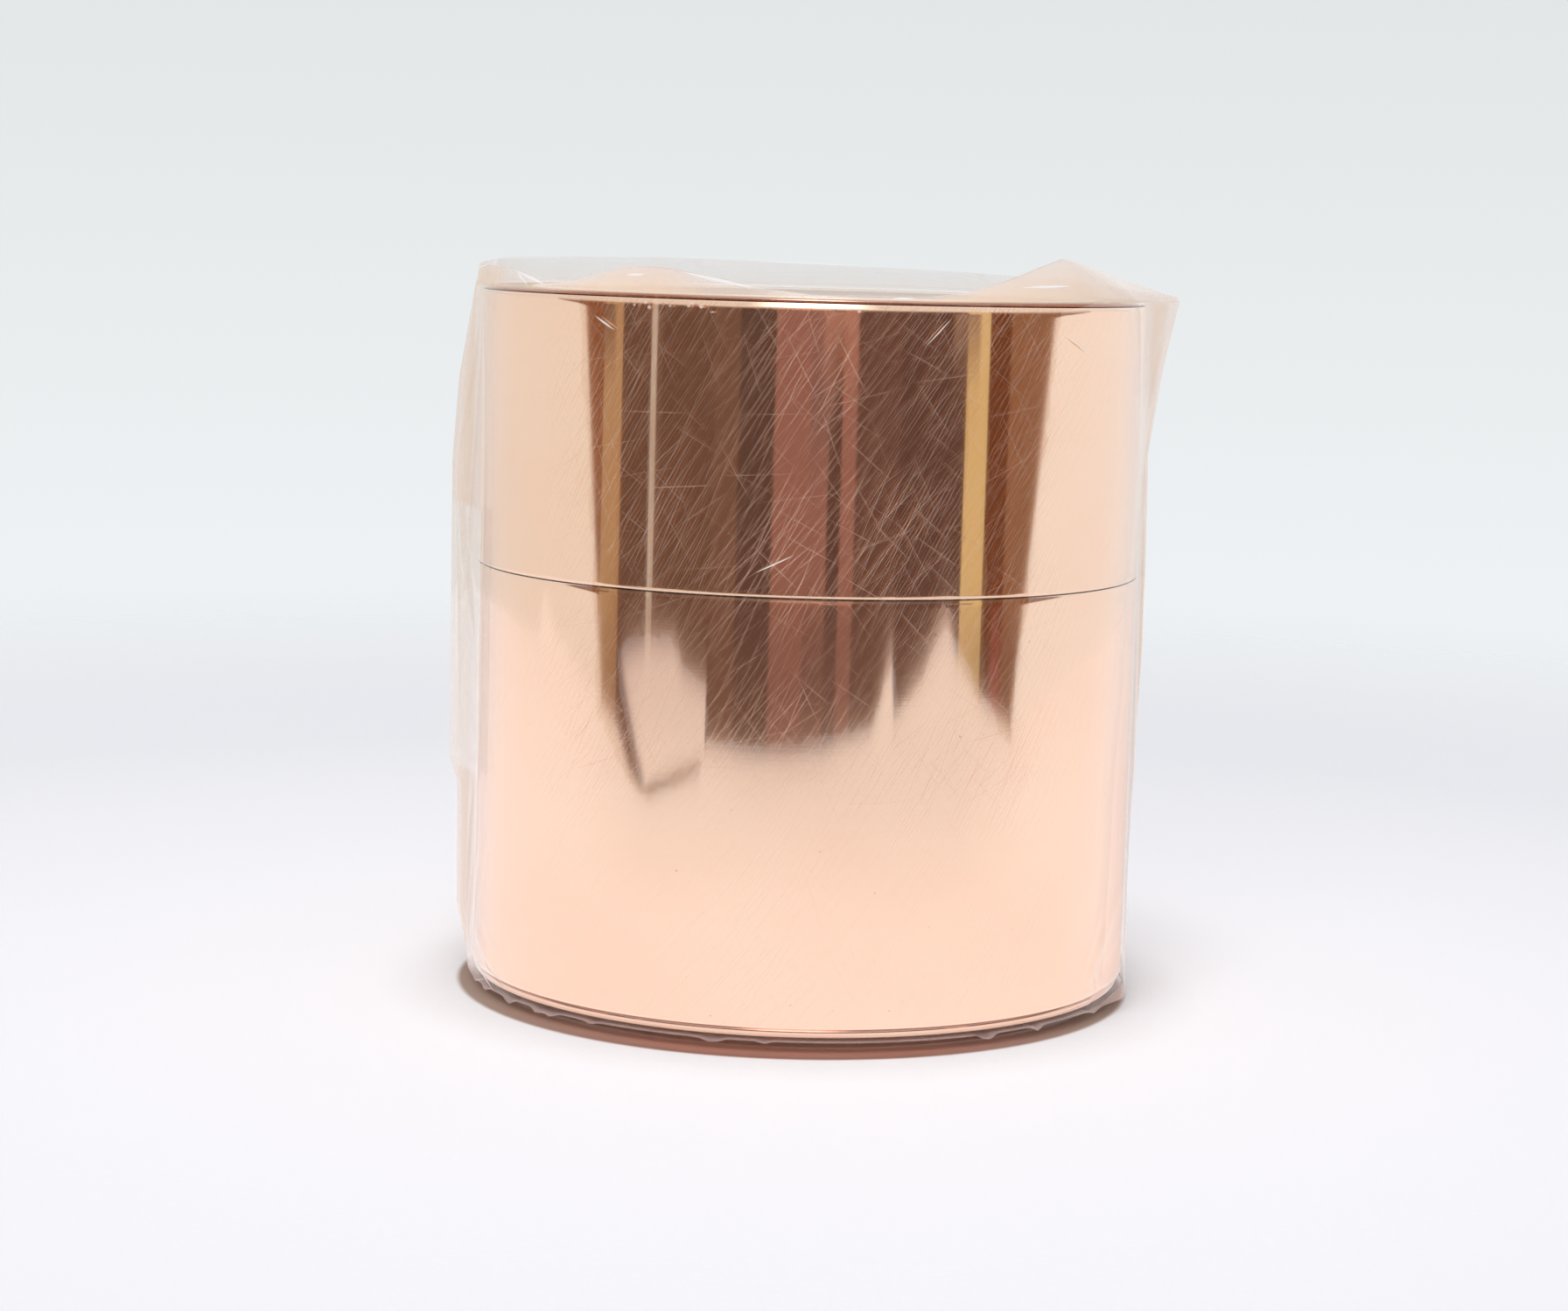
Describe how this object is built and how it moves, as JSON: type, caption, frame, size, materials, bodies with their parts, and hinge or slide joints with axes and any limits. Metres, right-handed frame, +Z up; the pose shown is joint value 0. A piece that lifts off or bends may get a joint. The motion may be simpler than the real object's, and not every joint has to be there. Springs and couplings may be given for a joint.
{
  "type": "copper foil tape roll",
  "caption": "Two wide rolls of adhesive copper foil tape stacked on one axis, each wound on a paper core, in a clear film wrap they can turn in.",
  "frame": {"origin": "on the rolls' common axis, in the plane the pack stands on", "axes": "+Z up along the rolls' axis, -Y the front, with the wrap's fins at -X and +X"},
  "size_m": [0.1048, 0.0982, 0.1066],
  "materials": {
    "clear_film": "clear packing film, glossy, creased at its corners",
    "clear_tape": "clear adhesive tape, satin",
    "core_board": "spiral-wound pale board",
    "double_sided_tape": "translucent double-sided tape",
    "wound_tape": "edges of many turns of copper foil and liner",
    "liner_paper": "siliconised release paper",
    "copper_foil": "bright rolled copper, mirror-like with fine scratches"
  },
  "bodies": {
    "wrap": {"film_sleeve": "clear_film", "film_bottom_hem": "clear_film", "film_seal_tape": "clear_tape"},
    "lower_roll": {"lower_paper_core": "core_board", "lower_start_tape": "double_sided_tape", "lower_wound_tape_log": "wound_tape", "lower_outer_liner_turn": "liner_paper", "lower_outer_foil_turn": "copper_foil", "lower_tail_tape": "clear_tape"},
    "upper_roll": {"upper_paper_core": "core_board", "upper_start_tape": "double_sided_tape", "upper_wound_tape_log": "wound_tape", "upper_outer_liner_turn": "liner_paper", "upper_outer_foil_turn": "copper_foil", "upper_tail_tape": "clear_tape"}
  },
  "joints": [
    {"name": "lower_roll_spin", "type": "hinge", "parent": "wrap", "child": "lower_roll", "pos_m": [0, 0, 0.032], "axis": [0, 0, 1], "continuous": true},
    {"name": "upper_roll_spin", "type": "hinge", "parent": "wrap", "child": "upper_roll", "pos_m": [0, 0, 0.08205], "axis": [0, 0, 1], "continuous": true}
  ]
}
